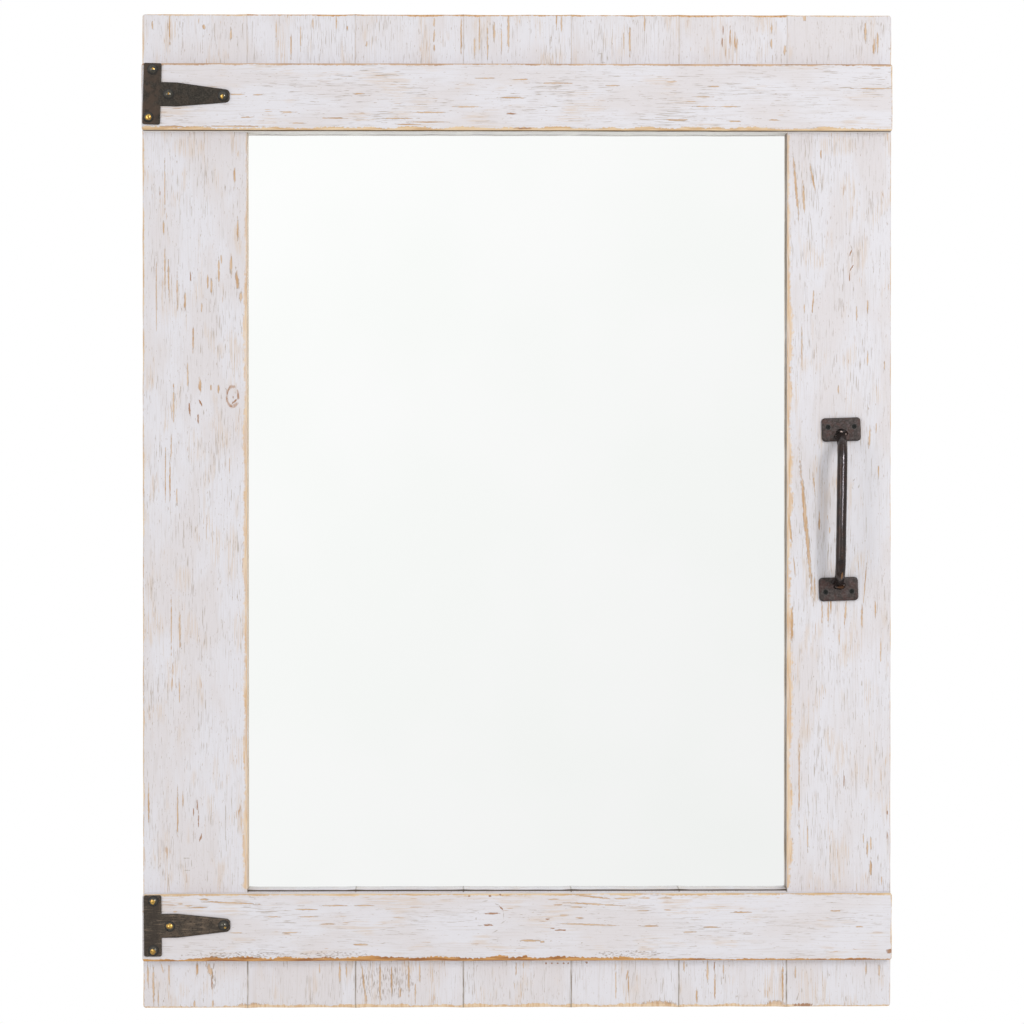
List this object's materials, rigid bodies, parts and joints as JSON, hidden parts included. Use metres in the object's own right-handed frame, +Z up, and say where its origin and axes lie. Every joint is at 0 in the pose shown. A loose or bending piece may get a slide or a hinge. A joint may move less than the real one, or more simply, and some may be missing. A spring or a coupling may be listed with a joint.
{
  "type": "wall mirror",
  "caption": "Rustic wall mirror shaped like a plank door, with whitewashed boards, rails, iron strap plates, a bowed pull and ring hangers behind.",
  "frame": {"origin": "middle of the back, in the plane of the wall that the rubber bumpers touch", "axes": "+X to the right seen from the front, +Y into the wall, +Z up"},
  "size_m": [0.613, 0.058, 0.813],
  "materials": {
    "whitewashed_pine": "worn whitewash",
    "silvered_glass": "silvered",
    "grey_card": "matt",
    "hardboard": "smooth face out",
    "black_iron": "waxed black",
    "worn_brass": "darkened, worn on top",
    "zinc_steel": "zinc plated",
    "clear_rubber": "translucent"
  },
  "bodies": {
    "door": {"left_stile": "whitewashed_pine", "right_stile": "whitewashed_pine", "upper_board_1": "whitewashed_pine", "upper_board_2": "whitewashed_pine", "upper_board_3": "whitewashed_pine", "upper_board_4": "whitewashed_pine", "upper_board_5": "whitewashed_pine", "lower_board_1": "whitewashed_pine", "lower_board_2": "whitewashed_pine", "lower_board_3": "whitewashed_pine", "lower_board_4": "whitewashed_pine", "lower_board_5": "whitewashed_pine", "upper_rail": "whitewashed_pine", "lower_rail": "whitewashed_pine", "mirror_glass": "silvered_glass", "packing_card": "grey_card", "backing_board": "hardboard", "upper_hinge_plate": "black_iron", "lower_hinge_plate": "black_iron", "pull_grip": "black_iron", "pull_upper_plate": "black_iron", "pull_lower_plate": "black_iron", "pull_screws": "black_iron", "upper_hinge_nails": "worn_brass", "lower_hinge_nails": "worn_brass", "upper_rail_screws": "zinc_steel", "lower_rail_screws": "zinc_steel", "backing_screws": "zinc_steel", "left_hanger_strap": "zinc_steel", "right_hanger_strap": "zinc_steel", "left_hanger_screws": "zinc_steel", "right_hanger_screws": "zinc_steel", "bumpers": "clear_rubber"},
    "left_ring": {"left_hanger_ring": "zinc_steel"},
    "right_ring": {"right_hanger_ring": "zinc_steel"}
  },
  "joints": [
    {"name": "left_ring_swing", "type": "hinge", "parent": "door", "child": "left_ring", "pos_m": [-0.2765, -0.0036, 0.2415], "axis": [-1, 0, 0], "range_deg": [0, 175]},
    {"name": "right_ring_swing", "type": "hinge", "parent": "door", "child": "right_ring", "pos_m": [0.2765, -0.0036, 0.2415], "axis": [-1, 0, 0], "range_deg": [0, 175]}
  ]
}
